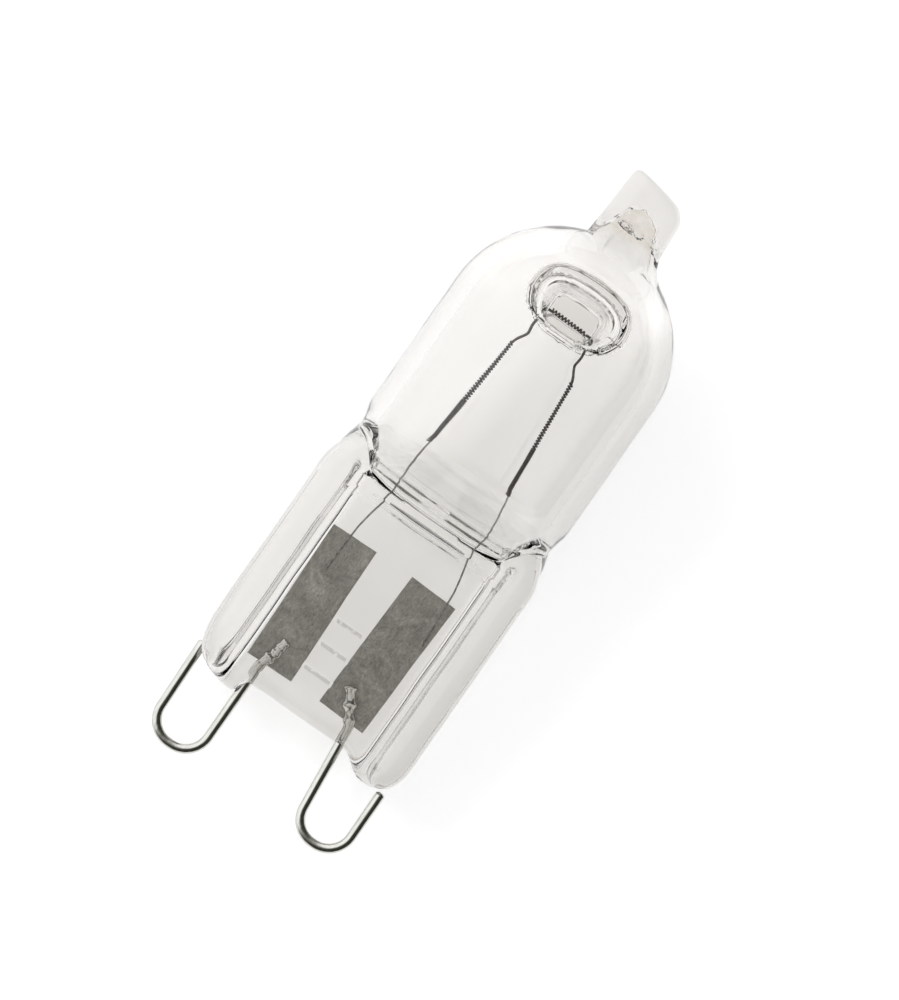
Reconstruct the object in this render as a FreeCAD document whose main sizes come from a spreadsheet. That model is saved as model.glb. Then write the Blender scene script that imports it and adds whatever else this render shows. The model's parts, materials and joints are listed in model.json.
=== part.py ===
import FreeCAD
import Part
import Sketcher
import math
import os

# Two-pin halogen capsule lamp: a press-sealed quartz bulb that holds a folded, coiled filament.
# Each piece is drawn upright: Z runs along the lamp from the foot of the pin loops to the exhaust
# tip, X runs across the flat of the seal, and the front of the seal is at -Y.
# The whole lamp is then laid on its back as it comes to rest, with its tip along +X.
# Lengths are in millimetres and angles in degrees.

Vector = FreeCAD.Vector
Placement = FreeCAD.Placement
Rotation = FreeCAD.Rotation

# How closely facets follow a curve when the resting pose is worked out
FINE = 0.005

# Where the lofts of the neck and of the cavity's lower end have sections, as shares of their height
LOWER_NECK_SHARES = (0.25, 0.55)
UPPER_NECK_SHARES = (0.45,)
THROAT_SHARES = (0.2, 0.55)

SIZES = {
    # Quartz bulb
    "bulb_diameter": 12.6,
    "bulb_wall": 1.0,
    "bulb_start": 21.2,
    "dome_start": 28.75,
    # Neck between the seal and the bulb
    "neck_start": 17.6,
    "neck_waist": 19.2,
    "neck_width": 11.6,
    "neck_depth": 8.6,
    # Press seal: a web between two ribs
    "seal_width": 13.2,
    "seal_thickness": 5.4,
    "seal_shoulder": 16.9,
    "shoulder_radius": 2.2,
    "seal_top": 18.8,
    "rib_foot": 4.4,
    "foot_radius": 2.0,
    "rib_edge_radius": 0.7,
    "web_thickness": 2.4,
    "web_width": 8.9,
    "web_foot": 5.25,
    "web_foot_width": 5.8,
    "recess_draft": 20,
    "crest_radius": 0.25,
    "web_corner_radius": 0.3,
    # Lower end of the cavity
    "throat_start": 22.0,
    "slot_height": 18.25,
    "slot_width": 8.3,
    "slot_depth": 0.4,
    # Exhaust tip
    "tip_root": 33.6,
    "tip_root_width": 4.1,
    "tip_root_depth": 3.5,
    "tip_top_width": 3.5,
    "tip_top_depth": 2.7,
    "tip_corner": 0.9,
    "tip_height": 38.92,
    "tip_slant": 0.7,
    "tip_edge": 0.3,
    "exhaust_bore": 1.3,
    "exhaust_end": 36.1,
    # Dimples that carry the fold of the filament
    "dimple_height": 30.36,
    "dimple_width": 3.4,
    "dimple_tall": 2.5,
    "dimple_corner": 0.45,
    "dimple_gap": 0.6,
    "dimple_wall": 0.65,
    "mouth_height": 31.05,
    "mouth_width": 6.6,
    "mouth_tall": 4.55,
    "mouth_corner": 1.9,
    "bridge_width": 2.3,
    "bridge_tall": 0.6,
    "bridge_height": 29.6,
    "bridge_flat": 0.04,
    # Molybdenum foils
    "foil_width": 2.8,
    "foil_length": 8.07,
    "foil_thickness": 0.04,
    "foil_edge": 0.01,
    "foil_bevel": 0.45,
    "foil_foot": 6.5,
    "left_foil_x": 2.62,
    "right_foil_x": 1.96,
    "left_foil_lean": 1.4,
    "right_foil_lean": 1.9,
    # Pin loops
    "pin_spacing": 9.0,
    "pin_wire": 0.48,
    "loop_width": 3.0,
    "loop_radius": 1.45,
    "left_free_end": 5.75,
    "right_free_end": 4.4,
    "left_bend_x": 3.05,
    "left_bend_height": 6.1,
    "right_bend_x": 2.55,
    "right_bend_height": 6.3,
    "left_weld_x": 2.45,
    "right_weld_x": 1.5,
    "weld_height": 8.15,
    "weld_sink": 0.01,
    # Inner leads
    "lead_wire": 0.1,
    "lead_in_coil": 0.9,
    "lead_bend": 17.6,
    "left_lead_bend_x": 2.6,
    "left_lead_end_x": 3.11,
    "left_lead_end": 12.3,
    "right_lead_bend_x": 2.72,
    "right_lead_end_x": 3.35,
    "right_lead_end": 11.9,
    # Filament
    "coil_diameter": 0.3,
    "filament_wire": 0.1,
    "coil_foot": 20.2,
    "coil_foot_x": 2.5,
    "coil_top": 27.6,
    "coil_top_x": 1.88,
    "hook_x": 1.5,
    "cross_width": 2.2,
    "cross_clearance": 0.02,
}


ARITHMETIC = {
    "+": lambda a, b: a + b,
    "-": lambda a, b: a - b,
    "*": lambda a, b: a * b,
    "/": lambda a, b: a / b,
}


class Size:
    """A length together with the expression that ties it to the sheet."""

    def __init__(self, number, text):
        self.number = number
        self.text = text

    def joined(self, sign, other):
        """This size and another one with an arithmetic sign between them."""
        number = ARITHMETIC[sign](self.number, other.number)
        return Size(number, f"({self.text} {sign} {other.text})")

    def __add__(self, other):
        return self.joined("+", as_size(other))

    def __sub__(self, other):
        return self.joined("-", as_size(other))

    def __mul__(self, other):
        return self.joined("*", as_size(other))

    def __truediv__(self, other):
        return self.joined("/", as_size(other))

    def __neg__(self):
        return as_size(-1).joined("*", self)

    def tangent(self):
        """The tangent of this angle."""
        return Size(math.tan(math.radians(self.number)), f"tan({self.text})")


def as_size(value):
    """A plain number as a size that hangs on no cell."""
    return value if isinstance(value, Size) else Size(float(value), str(float(value)))


def root_of(square):
    """The square root of a size."""
    return Size(math.sqrt(square.number), f"sqrt({square.text})")


def leg_of(hypotenuse, other_leg):
    """The second leg of a right-angled triangle."""
    return root_of(hypotenuse * hypotenuse - other_leg * other_leg)


def diagonal_of(width, height):
    """The diagonal of a rectangle."""
    return root_of(width * width + height * height)


class Sheet:
    """The driving sizes in the document's spreadsheet, each read as an attribute."""

    def __init__(self, document):
        self.cells = document.addObject("Spreadsheet::Sheet", "sizes")
        for row, (name, value) in enumerate(SIZES.items(), start=1):
            self.cells.set(f"A{row}", name)
            self.cells.set(f"B{row}", str(value))
            self.cells.setAlias(f"B{row}", name)
        document.recompute()

    def __getattr__(self, name):
        return Size(float(getattr(self.cells, name)), f"sizes.{name}")


class Side:
    """One side of the lamp: its sign along X and its own sizes, such as left_foil_x as foil_x."""

    def __init__(self, name, sign):
        self.name = name
        self.sign = sign

    def __getattr__(self, name):
        return getattr(size, f"{self.name}_{name}")


doc = FreeCAD.newDocument("halogen_capsule")
size = Sheet(doc)
SIDES = [Side("left", -1), Side("right", 1)]

# Sizes that follow from the driving ones
bulb_radius = size.bulb_diameter / 2
cavity_radius = bulb_radius - size.bulb_wall
seal_half = size.seal_width / 2
coil_slope = (size.coil_foot_x - size.coil_top_x) / (size.coil_top - size.coil_foot)
wire_plane = (size.foil_thickness + size.pin_wire) / 2 - size.weld_sink
lead_plane = (size.foil_thickness + size.lead_wire) / 2 - size.weld_sink
cross_height = (
    size.bridge_height + size.bridge_tall / 2 + size.coil_diameter / 2 + size.cross_clearance
)


def set_values(item, settings):
    """Sets properties of an object: a size is bound to the sheet, anything else is set as it is."""
    for name, value in settings.items():
        if isinstance(value, Size):
            setattr(item, name, value.number)
            item.setExpression(name, value.text)
        else:
            setattr(item, name, value)
    return item


def add_part(kind, name, **settings):
    """Adds a part primitive or operation to the document."""
    return set_values(doc.addObject(kind, name), settings)


def add_body(name):
    """Adds an empty body to the document."""
    return doc.addObject("PartDesign::Body", name)


def add_feature(body, kind, name, **settings):
    """Adds a feature to a body."""
    return set_values(body.newObject(kind, name), settings)


def add_sketch(body, name, role):
    """Adds a sketch on one of the body's own origin planes."""
    plane = next(feature for feature in body.Origin.OriginFeatures if feature.Role == role)
    sketch = body.newObject("Sketcher::SketchObject", name)
    sketch.AttachmentSupport = (plane, "")
    sketch.MapMode = "FlatFace"
    return sketch


def bind(sketch, kind, value, *geometry):
    """Adds one dimension to a sketch and binds it to its size."""
    number = sketch.addConstraint(Sketcher.Constraint(kind, *geometry, value.number))
    name = f"{kind}_{number}"
    sketch.renameConstraint(number, name)
    sketch.setExpression(f"Constraints.{name}", value.text)


def pin_down(sketch, geometry, position, x, y):
    """Binds both coordinates of a point of a sketch."""
    bind(sketch, "DistanceX", x, -1, 1, geometry, position)
    bind(sketch, "DistanceY", y, -1, 1, geometry, position)


def arc_between(start, end, radius):
    """The short arc that runs anticlockwise from start to end."""
    chord = end - start
    height = math.sqrt(max(radius**2 - chord.Length**2 / 4, 0))
    middle = (start + end) / 2 + Vector(-chord.y, chord.x, 0).normalize() * height
    angles = [math.atan2(point.y - middle.y, point.x - middle.x) for point in (start, end)]
    return Part.ArcOfCircle(Part.Circle(middle, Vector(0, 0, 1), radius), *angles)


def draw_outline(sketch, corners):
    """Draws a closed anticlockwise outline.

    Each corner is (x, y, radius). With a radius, the edge that leaves the corner is an arc that
    bulges outwards, and with None it is straight.
    """
    points = [Vector(x.number, y.number, 0) for x, y, _ in corners]
    edges = []
    for number, (_, _, radius) in enumerate(corners):
        start = points[number]
        end = points[(number + 1) % len(points)]
        edge = Part.LineSegment(start, end) if radius is None else arc_between(start, end, radius.number)
        edges.append(sketch.addGeometry(edge, False))
    for number, (x, y, radius) in enumerate(corners):
        sketch.addConstraint(Sketcher.Constraint("Coincident", edges[number - 1], 2, edges[number], 1))
        pin_down(sketch, edges[number], 1, x, y)
        if radius is not None:
            bind(sketch, "Radius", radius, edges[number])


def draw_rounded_box(sketch, middle_y, width, height, corner):
    """Draws a rounded rectangle that is centred on the sketch's y axis."""
    x = width / 2
    y = height / 2
    low = middle_y - y
    high = middle_y + y
    draw_outline(
        sketch,
        [
            (x - corner, low, corner),
            (x, low + corner, None),
            (x, high - corner, corner),
            (x - corner, high, None),
            (corner - x, high, corner),
            (-x, high - corner, None),
            (-x, low + corner, corner),
            (corner - x, low, None),
        ],
    )


def draw_rounded_outline(sketch, corners):
    """Draws a closed outline of straight runs whose corners, (x, y, radius), are tangent arcs."""
    points = [Vector(x.number, y.number, 0) for x, y, _ in corners]
    ends = points[1:] + points[:1]
    ways = [(end - start).normalize() for start, end in zip(points, ends)]
    cuts = [
        radius.number * math.tan(ways[number - 1].getAngle(ways[number]) / 2)
        for number, (_, _, radius) in enumerate(corners)
    ]
    runs = []
    for number, way in enumerate(ways):
        start = points[number] + way * cuts[number]
        end = ends[number] - way * cuts[(number + 1) % len(cuts)]
        runs.append(sketch.addGeometry(Part.LineSegment(start, end), False))
    for number, (x, y, radius) in enumerate(corners):
        way = ways[number - 1]
        next_way = ways[number]
        start = points[number] - way * cuts[number]
        end = points[number] + next_way * cuts[number]
        turns_left = way.cross(next_way).z > 0
        first, last = (start, end) if turns_left else (end, start)
        at_start, at_end = (1, 2) if turns_left else (2, 1)
        arc = sketch.addGeometry(arc_between(first, last, radius.number), False)
        corner = sketch.addGeometry(Part.Point(points[number]), True)
        pin_down(sketch, corner, 1, x, y)
        bind(sketch, "Radius", radius, arc)
        for constraint in (
            Sketcher.Constraint("PointOnObject", corner, 1, runs[number - 1]),
            Sketcher.Constraint("PointOnObject", corner, 1, runs[number]),
            Sketcher.Constraint("Tangent", runs[number - 1], 2, arc, at_start),
            Sketcher.Constraint("Tangent", arc, at_end, runs[number], 1),
        ):
            sketch.addConstraint(constraint)


def turned_body(name, corners):
    """A body turned about the lamp's axis from an outline of (radius, height, arc radius)."""
    body = add_body(name)
    sketch = add_sketch(body, f"{name}_profile", "XZ_Plane")
    draw_outline(sketch, corners)
    axis = (sketch, ["V_Axis"])
    add_feature(body, "PartDesign::Revolution", f"{name}_turn", Profile=sketch, ReferenceAxis=axis)
    return body


def swell(start, end, share):
    """A length that grows from start to end, fast at first and then ever more slowly."""
    return start + (end - start) * math.sin(share * math.pi / 2)


def level_loft(name, sections):
    """A smooth solid through level ellipses, each given as (half width, half depth, height)."""
    ellipses = []
    for number, (half_width, half_depth, height) in enumerate(sections):
        ellipse = add_part(
            "Part::Ellipse", f"{name}_section_{number}", MajorRadius=half_width, MinorRadius=half_depth
        )
        ellipse.setExpression("Placement.Base.z", height.text)
        ellipses.append(ellipse)
    return add_part("Part::Loft", name, Sections=ellipses, Solid=True, Ruled=True)


def round_rod(name, start, end, diameter):
    """A straight round rod between two points."""
    rod = add_part("Part::Cylinder", name, Radius=diameter / 2, Height=start.distanceToPoint(end))
    rod.Placement = Placement(start, Rotation(Vector(0, 0, 1), end - start))
    return rod


def bent_wire(name, corners, diameter, plane):
    """A round wire that is bent in a plane in front of the middle of the seal.

    Each corner is (x, z, bend radius). With a radius the bend is turned, and with None the wire is
    kinked, with a ball of its own diameter at the kink.
    """
    points = [Vector(x.number, -plane.number, z.number) for x, z, _ in corners]
    ways = [(end - start).normalize() for start, end in zip(points, points[1:])]
    pieces = []
    start = points[0]
    for number, (way, next_way) in enumerate(zip(ways, ways[1:]), start=1):
        point = points[number]
        radius = corners[number][2]
        if radius is None:
            joint = add_part("Part::Sphere", f"{name}_kink_{number}", Radius=diameter / 2)
            joint.Placement = Placement(point, Rotation(Vector(0, 0, 1), way))
            end = next_start = point
        else:
            turn = way.getAngle(next_way)
            cut = radius.number * math.tan(turn / 2)
            end = point - way * cut
            next_start = point + next_way * cut
            axis = way.cross(next_way).normalize()
            outward = way.cross(axis)
            joint = add_part(
                "Part::Torus",
                f"{name}_bend_{number}",
                Radius1=radius,
                Radius2=diameter / 2,
                Angle3=math.degrees(turn),
            )
            joint.Placement = Placement(end - outward * radius.number, Rotation(outward, way, axis, "ZXY"))
        pieces.append(round_rod(f"{name}_run_{number}", start, end, diameter))
        pieces.append(joint)
        start = next_start
    pieces.append(round_rod(f"{name}_run_{len(ways)}", start, points[-1], diameter))
    return add_part("Part::MultiFuse", name, Shapes=pieces, Refine=True)


def edges_where(shape, wanted):
    """The names of the shape's edges that pass a test."""
    return [f"Edge{number}" for number, edge in enumerate(shape.Edges, start=1) if wanted(edge)]


def add_edges(body, kind, name, wanted, **settings):
    """Rounds or chamfers those edges of the body's last feature that pass a test."""
    doc.recompute()
    base = body.Tip
    return add_feature(body, kind, name, Base=(base, edges_where(base.Shape, wanted)), **settings)


def make_bulb():
    """The straight bulb with its domed end."""
    axis = as_size(0)
    return turned_body(
        "bulb",
        [
            (axis, size.bulb_start, None),
            (bulb_radius, size.bulb_start, None),
            (bulb_radius, size.dome_start, bulb_radius),
            (axis, size.dome_start + bulb_radius, None),
        ],
    )


def make_neck():
    """The shoulder where the pressed seal opens into the round bulb."""
    waist_width = size.neck_width / 2
    waist_depth = size.neck_depth / 2
    web_depth = size.web_thickness / 2
    rise = size.neck_waist - size.neck_start
    sections = [(waist_width, web_depth, size.neck_start)]
    for share in LOWER_NECK_SHARES:
        depth = swell(web_depth, waist_depth, share)
        sections.append((waist_width, depth, size.neck_start + rise * share))
    sections.append((waist_width, waist_depth, size.neck_waist))
    span = size.bulb_start - size.neck_waist
    for share in UPPER_NECK_SHARES:
        width = swell(waist_width, bulb_radius, share)
        depth = swell(waist_depth, bulb_radius, share)
        sections.append((width, depth, size.neck_waist + span * share))
    sections.append((bulb_radius, bulb_radius, size.bulb_start))
    return level_loft("neck", sections)


def make_seal():
    """The pressed seal: an H section of two ribs and a web, trimmed to its outline from the front."""
    section_body = add_body("seal_section")
    section = add_sketch(section_body, "seal_section_sketch", "XY_Plane")
    half_thickness = size.seal_thickness / 2
    half_web = size.web_thickness / 2
    floor_x = size.web_width / 2
    crest_x = floor_x + (half_thickness - half_web) * size.recess_draft.tangent()
    front = [
        (-seal_half, -half_thickness, size.rib_edge_radius),
        (-crest_x, -half_thickness, size.crest_radius),
        (-floor_x, -half_web, size.web_corner_radius),
        (floor_x, -half_web, size.web_corner_radius),
        (crest_x, -half_thickness, size.crest_radius),
        (seal_half, -half_thickness, size.rib_edge_radius),
    ]
    back = [(-x, -y, radius) for x, y, radius in front]
    draw_rounded_outline(section, front + back)
    add_feature(
        section_body, "PartDesign::Pad", "seal_section_pad", Profile=section, Length=size.neck_waist
    )
    outline_body = add_body("seal_outline")
    outline = add_sketch(outline_body, "seal_outline_sketch", "XZ_Plane")
    foot_x = seal_half - size.foot_radius
    web_x = size.web_foot_width / 2
    shoulder_rise = size.seal_top - size.seal_shoulder
    top_x = seal_half - size.shoulder_radius + leg_of(size.shoulder_radius, shoulder_rise)
    draw_outline(
        outline,
        [
            (-foot_x, size.rib_foot, None),
            (-web_x, size.web_foot, None),
            (web_x, size.web_foot, None),
            (foot_x, size.rib_foot, size.foot_radius),
            (seal_half, size.rib_foot + size.foot_radius, None),
            (seal_half, size.seal_shoulder, size.shoulder_radius),
            (top_x, size.seal_top, None),
            (-top_x, size.seal_top, size.shoulder_radius),
            (-seal_half, size.seal_shoulder, None),
            (-seal_half, size.rib_foot + size.foot_radius, size.foot_radius),
        ],
    )
    add_feature(
        outline_body,
        "PartDesign::Pad",
        "seal_outline_pad",
        Profile=outline,
        Length=size.seal_thickness * 2,
        Midplane=True,
    )
    return add_part("Part::MultiCommon", "seal", Shapes=[section_body, outline_body])


def make_tip():
    """The sheared stub where the exhaust tube was melted shut."""
    body = add_body("tip")
    stub = add_feature(
        body,
        "PartDesign::AdditiveWedge",
        "tip_stub",
        Ymin=size.tip_root,
        Ymax=size.tip_height + size.tip_slant,
        Xmin=-size.tip_root_width / 2,
        Xmax=size.tip_root_width / 2,
        Zmin=-size.tip_root_depth / 2,
        Zmax=size.tip_root_depth / 2,
        X2min=-size.tip_top_width / 2,
        X2max=size.tip_top_width / 2,
        Z2min=-size.tip_top_depth / 2,
        Z2max=size.tip_top_depth / 2,
    )
    stub.Placement = Placement(Vector(), Rotation(Vector(1, 0, 0), 90))
    half_rise = (size.tip_height - size.tip_root).number / 2
    add_edges(
        body,
        "PartDesign::Fillet",
        "tip_corners",
        lambda edge: edge.BoundBox.ZLength > half_rise,
        Radius=size.tip_corner,
    )
    # The stub is cut along a slant that is drawn twice as wide as the stub
    shear = add_sketch(body, "tip_shear_outline", "XZ_Plane")
    reach = size.tip_top_width
    middle = size.tip_height - size.tip_slant / 2
    clear = size.tip_height + size.tip_slant * 2
    draw_outline(
        shear,
        [
            (-reach, middle + size.tip_slant, None),
            (reach, middle - size.tip_slant, None),
            (reach, clear, None),
            (-reach, clear, None),
        ],
    )
    add_feature(body, "PartDesign::Pocket", "tip_shear", Profile=shear, Type="ThroughAll", Midplane=True)
    lowest = (middle - size.tip_slant).number
    add_edges(
        body,
        "PartDesign::Chamfer",
        "tip_edges",
        lambda edge: edge.BoundBox.ZMin > lowest,
        Size=size.tip_edge,
    )
    return body


def make_chamber():
    """The round part of the cavity, with what is left of the exhaust tube's bore."""
    axis = as_size(0)
    bore = size.exhaust_bore / 2
    return turned_body(
        "chamber",
        [
            (axis, size.throat_start, None),
            (cavity_radius, size.throat_start, None),
            (cavity_radius, size.dome_start, cavity_radius),
            (bore, size.dome_start + leg_of(cavity_radius, bore), None),
            (bore, size.exhaust_end - bore, None),
            (axis, size.exhaust_end, None),
        ],
    )


def make_throat():
    """The part of the cavity that narrows to a slot above the web."""
    half_width = size.slot_width / 2
    half_depth = size.slot_depth / 2
    rise = size.throat_start - size.slot_height
    sections = [(half_width, half_depth, size.slot_height)]
    for share in THROAT_SHARES:
        width = swell(half_width, cavity_radius, share)
        depth = swell(half_depth, cavity_radius, share)
        sections.append((width, depth, size.slot_height + rise * share))
    sections.append((cavity_radius, cavity_radius, size.throat_start))
    return level_loft("throat", sections)


def make_dimple(name, side, floor, floor_box, mouth_box):
    """A flared plug between a box deep in the bulb and a larger one at its surface.

    Each box is (middle height, width, height, corner). The plug stands at -Y where side is 1. It is
    a wedge whose four corners are taken off by a cone.
    """
    boxes = {"": mouth_box, "2": floor_box} if side == 1 else {"": floor_box, "2": mouth_box}
    walls = {
        "Ymin": -bulb_radius if side == 1 else floor,
        "Ymax": -floor if side == 1 else bulb_radius,
    }
    for end, (middle, width, height, _) in boxes.items():
        walls[f"X{end}min"] = -width / 2
        walls[f"X{end}max"] = width / 2
        walls[f"Z{end}min"] = middle - height / 2
        walls[f"Z{end}max"] = middle + height / 2
    wedge = add_part("Part::Wedge", f"{name}_wedge", **walls)
    low, high = [
        diagonal_of(width / 2 - corner, height / 2 - corner) + corner
        for _, width, height, corner in (floor_box, mouth_box)
    ]
    start = Vector(0, -side * floor.number, floor_box[0].number)
    end = Vector(0, -side * bulb_radius.number, mouth_box[0].number)
    way = end - start
    spare = size.dimple_wall.number / way.Length
    cone = add_part(
        "Part::Cone",
        f"{name}_cone",
        Radius1=low + (low - high) * spare,
        Radius2=high + (high - low) * spare,
        Height=way.Length * (1 + 2 * spare),
    )
    cone.Placement = Placement(start - way * spare, Rotation(Vector(0, 0, 1), way))
    return add_part("Part::MultiCommon", name, Shapes=[wedge, cone])


def make_dimples():
    """Two dimples pressed in towards each other: their quartz and the hollows outside it."""
    quartz = []
    hollows = []
    half_gap = size.dimple_gap / 2
    lap = size.dimple_wall * 2
    for name, side in (("front", 1), ("back", -1)):
        quartz.append(
            make_dimple(
                f"{name}_dimple",
                side,
                half_gap,
                (size.dimple_height, size.dimple_width, size.dimple_tall, size.dimple_corner),
                (
                    size.mouth_height,
                    size.mouth_width + lap,
                    size.mouth_tall + lap,
                    size.mouth_corner + size.dimple_wall,
                ),
            )
        )
        hollows.append(
            make_dimple(
                f"{name}_hollow",
                side,
                half_gap + size.dimple_wall,
                (
                    size.dimple_height,
                    size.dimple_width - size.dimple_wall,
                    size.dimple_tall - size.dimple_wall,
                    size.dimple_corner,
                ),
                (size.mouth_height, size.mouth_width, size.mouth_tall, size.mouth_corner),
            )
        )
    return quartz, hollows


def make_bridge():
    """The drop of quartz where the two dimples were fused, on which the filament hangs."""
    body = add_body("bridge")
    outline = add_sketch(body, "bridge_outline", "XZ_Plane")
    corner = (size.bridge_tall - size.bridge_flat) / 2
    draw_rounded_box(outline, size.bridge_height, size.bridge_width, size.bridge_tall, corner)
    length = size.dimple_gap + size.dimple_wall
    add_feature(body, "PartDesign::Pad", "bridge_bar", Profile=outline, Length=length, Midplane=True)
    return body


def make_foil(side):
    """A foil that is rolled thin and etched to knife edges along both sides."""
    name = f"foil_blank_{side.name}"
    body = add_body(name)
    section = add_sketch(body, f"{name}_section", "XY_Plane")
    half = size.foil_width / 2
    flat = half - size.foil_bevel
    middle = size.foil_thickness / 2
    edge = size.foil_edge / 2
    draw_outline(
        section,
        [
            (-flat, -middle, None),
            (flat, -middle, None),
            (half, -edge, None),
            (half, edge, None),
            (flat, middle, None),
            (-flat, middle, None),
            (-half, edge, None),
            (-half, -edge, None),
        ],
    )
    add_feature(body, "PartDesign::Pad", f"{name}_strip", Profile=section, Length=size.foil_length)
    foot = Vector(side.sign * side.foil_x.number, 0, size.foil_foot.number)
    body.Placement = Placement(foot, Rotation(Vector(0, 1, 0), side.sign * side.foil_lean.number))
    return body


def make_loop(side):
    """A pin: one wire with a free leg, a loop that the holder grips, and a leg welded to its foil."""
    middle = size.pin_spacing / 2
    half = size.loop_width / 2
    low = size.pin_wire / 2
    corners = [
        ((middle + half) * side.sign, side.free_end, None),
        ((middle + half) * side.sign, low, size.loop_radius),
        ((middle - half) * side.sign, low, size.loop_radius),
        (side.bend_x * side.sign, side.bend_height, None),
        (side.weld_x * side.sign, size.weld_height, None),
    ]
    return bent_wire(f"contact_loop_{side.name}", corners, size.pin_wire, wire_plane)


def make_lead(side):
    """A thin wire from the filament's coil down through the seal onto a foil."""
    top_x = size.coil_foot_x - coil_slope * size.lead_in_coil
    corners = [
        (top_x * side.sign, size.coil_foot + size.lead_in_coil, None),
        (side.lead_bend_x * side.sign, size.lead_bend, None),
        (side.lead_end_x * side.sign, side.lead_end, None),
    ]
    return bent_wire(f"inner_lead_{side.name}", corners, size.lead_wire, lead_plane)


def make_filament():
    """The filament: a close coil on each leg, one over the bridge, and the straight hooks between.

    The turns are finer than a part of this size needs, so each coil is the rod that it fills.
    """
    plane = -lead_plane.number
    half_cross = size.cross_width / 2
    pieces = []
    for side in SIDES:
        foot = Vector(side.sign * size.coil_foot_x.number, plane, size.coil_foot.number)
        top = Vector(side.sign * size.coil_top_x.number, plane, size.coil_top.number)
        pieces.append(round_rod(f"coil_{side.name}", foot, top, size.coil_diameter))
        corners = [
            (size.coil_top_x * side.sign, size.coil_top - size.coil_diameter / 2, None),
            (size.hook_x * side.sign, cross_height, None),
            ((half_cross - size.coil_diameter / 2) * side.sign, cross_height, None),
        ]
        pieces.append(bent_wire(f"hook_{side.name}", corners, size.filament_wire, lead_plane))
    start = Vector(-half_cross.number, plane, cross_height.number)
    end = Vector(half_cross.number, plane, cross_height.number)
    pieces.append(round_rod("cross_coil", start, end, size.coil_diameter))
    return add_part("Part::MultiFuse", "filament_wire", Shapes=pieces)


def lower_hull(points):
    """The lower convex hull of (x, z) points, from left to right."""
    hull = []
    for point in sorted(set(points)):
        while len(hull) > 1 and turn_of(hull[-2], hull[-1], point) <= 0:
            hull.pop()
        hull.append(point)
    return hull


def turn_of(first, second, third):
    """Positive where the way from first over second to third turns left."""
    return (second[0] - first[0]) * (third[1] - first[1]) - (second[1] - first[1]) * (third[0] - first[0])


def resting_pose(outside, inside, nodes):
    """Where the lamp comes to rest on its back: on the bulb's shoulder and the feet of both ribs.

    The stretch of the outline's lower hull that lies under the centre of mass becomes level, and
    the origin goes to the middle of the underside.
    """
    on_back = Rotation(Vector(0, -1, 0), Vector(0, 0, -1), Vector(1, 0, 0), "ZXY")
    quartz = outside.Volume - inside.Volume
    centre = (outside.CenterOfMass * outside.Volume - inside.CenterOfMass * inside.Volume) / quartz
    centre = on_back.multVec(centre)
    points = [on_back.multVec(point) for point in outside.tessellate(FINE)[0]]
    hull = lower_hull([(point.x, point.z) for point in points])
    for first, second in zip(hull, hull[1:]):
        way = Vector(second[0] - first[0], 0, second[1] - first[1])
        along = (centre - Vector(first[0], centre.y, first[1])).dot(way) / way.Length
        if 0 < along < way.Length:
            break
    tilt = Rotation(Vector(0, 1, 0), math.degrees(math.atan2(way.z, way.x)))
    pose = Placement(Vector(), tilt.multiply(on_back))
    whole = Part.makeCompound([node.Shape for node in nodes]).transformed(pose.toMatrix())
    box = whole.optimalBoundingBox()
    pose.Base = -Vector(box.Center.x, box.Center.y, box.ZMin)
    return pose


def drawn_pieces(item):
    """The pieces that a joined or cut shape is made of, by name."""
    if item.TypeId == "Part::Cut":
        sources = [item.Base, item.Tool]
    elif item.TypeId in ("Part::MultiFuse", "Part::MultiCommon"):
        sources = item.Shapes
    else:
        return {item.Name: item}
    pieces = {}
    for source in sources:
        pieces.update(drawn_pieces(source))
    return pieces


def lay_down(pose, nodes):
    """Moves each drawn piece of the nodes from its upright place to its resting place."""
    pieces = {}
    for node in nodes:
        pieces.update(drawn_pieces(node))
    for piece in pieces.values():
        piece.Placement = pose.multiply(piece.Placement)


def check_and_export(nodes):
    """Stops on any failed object, and writes each node's solids to a STEP file."""
    for item in doc.Objects:
        if "Invalid" in item.State or "Error" in item.State:
            raise RuntimeError(f"{item.Label} failed: {item.getStatusString()}")
    os.makedirs("parts", exist_ok=True)
    for node in nodes:
        shape = node.Shape
        if shape.isNull() or not shape.isValid() or len(shape.Solids) != 1:
            raise RuntimeError(f"{node.Label} is not one valid solid")
        shape.exportStep(f"parts/{node.Label}.step")
        print(f"{node.Label}: {shape.Volume:.4f} mm3")


bulb = make_bulb()
neck = make_neck()
seal = make_seal()
tip = make_tip()
outside = add_part("Part::MultiFuse", "outside", Shapes=[bulb, neck, seal, tip], Refine=True)
chamber = make_chamber()
throat = make_throat()
inside = add_part("Part::MultiFuse", "inside", Shapes=[chamber, throat], Refine=True)
dimples, hollows = make_dimples()
bridge = make_bridge()
pressed = add_part("Part::MultiFuse", "pressed", Shapes=dimples + [bridge])
gas = add_part("Part::Cut", "gas", Base=inside, Tool=pressed)

loops = [make_loop(side) for side in SIDES]
leads = [make_lead(side) for side in SIDES]
blanks = [make_foil(side) for side in SIDES]
foils = []
for side, blank, loop, lead in zip(SIDES, blanks, loops, leads):
    welded = add_part("Part::MultiFuse", f"welded_{side.name}", Shapes=[loop, lead])
    foils.append(add_part("Part::Cut", f"foil_{side.name}", Base=blank, Tool=welded))
both_leads = add_part("Part::MultiFuse", "both_leads", Shapes=leads)
filament = add_part("Part::Cut", "filament", Base=make_filament(), Tool=both_leads)
hollow = add_part("Part::MultiFuse", "hollow", Shapes=[gas] + hollows + blanks + loops + leads)
envelope = add_part("Part::Cut", "quartz_envelope", Base=outside, Tool=hollow)
nodes = [envelope, filament] + foils + loops + leads
doc.recompute()

lay_down(resting_pose(outside.Shape.Solids[0], inside.Shape.Solids[0], nodes), nodes)
doc.recompute()
check_and_export(nodes)
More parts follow.
